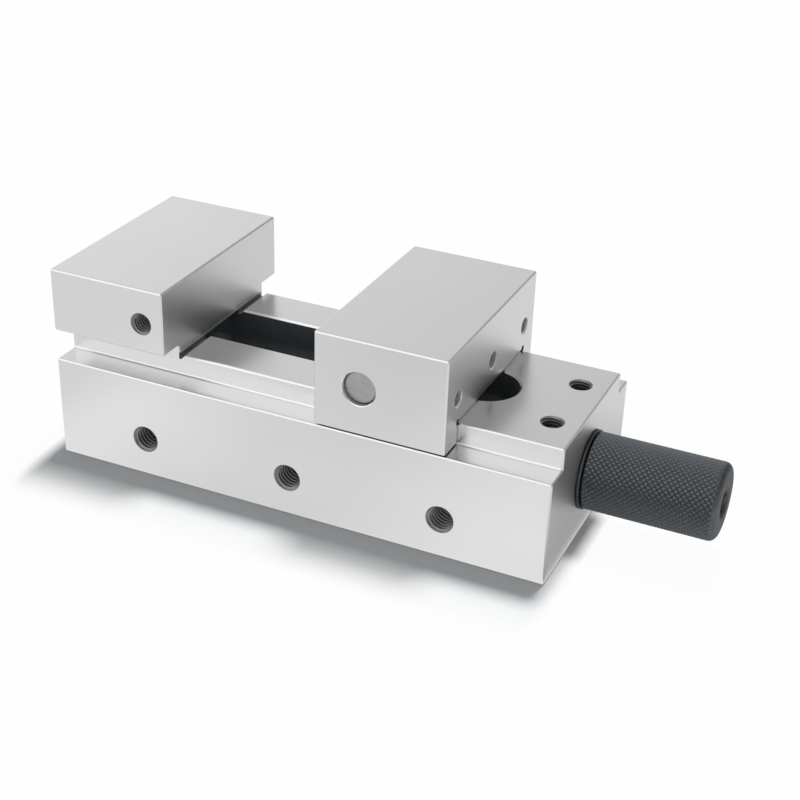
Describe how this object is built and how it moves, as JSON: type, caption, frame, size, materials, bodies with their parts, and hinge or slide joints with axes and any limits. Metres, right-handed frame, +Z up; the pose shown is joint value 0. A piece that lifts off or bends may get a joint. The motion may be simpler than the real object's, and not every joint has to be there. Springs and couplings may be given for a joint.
{
  "type": "toolmaker's vise",
  "caption": "Small ground steel screw vise with a fixed jaw, a jaw that slides on two rails, and a knurled knob that turns its screw.",
  "frame": {"origin": "bottom centre of the whole vise, on the plane that it stands on", "axes": "+X along the vise from the fixed jaw to the knob, +Y across it to the far side, +Z up"},
  "size_m": [0.1476, 0.05, 0.0461],
  "materials": {
    "ground_steel": "surface ground, satin bright",
    "plain_steel": "turned or milled, bare",
    "black_steel": "black oxide",
    "bronze": "turned bronze"
  },
  "bodies": {
    "base": {"body": "ground_steel", "front_bush": "bronze", "keeper_pin_near": "plain_steel", "keeper_pin_far": "plain_steel", "keeper_plug_near": "black_steel", "keeper_plug_far": "black_steel"},
    "sliding_jaw": {"moving_jaw": "ground_steel", "jaw_pin": "plain_steel", "pin_lock_screw_near": "black_steel", "pin_lock_screw_far": "black_steel", "tongue_screw": "black_steel", "draw_block": "plain_steel", "lead_nut": "bronze", "nut_lock_screw": "black_steel"},
    "screw": {"lead_screw": "black_steel", "knurled_knob": "black_steel", "knob_set_screw": "black_steel", "thrust_washer": "plain_steel"}
  },
  "joints": [
    {"name": "jaw_slide", "type": "slide", "parent": "base", "child": "sliding_jaw", "axis": [1, 0, 0], "range_m": [-0.036, 0.013]},
    {"name": "screw_spin", "type": "hinge", "parent": "base", "child": "screw", "pos_m": [0.0442, 0, 0.0146], "axis": [1, 0, 0], "range_deg": [-10400, 3760]}
  ],
  "couplings": [
    {"joint": "screw_spin", "follows": "jaw_slide", "rad_per_m": 5026.5}
  ]
}
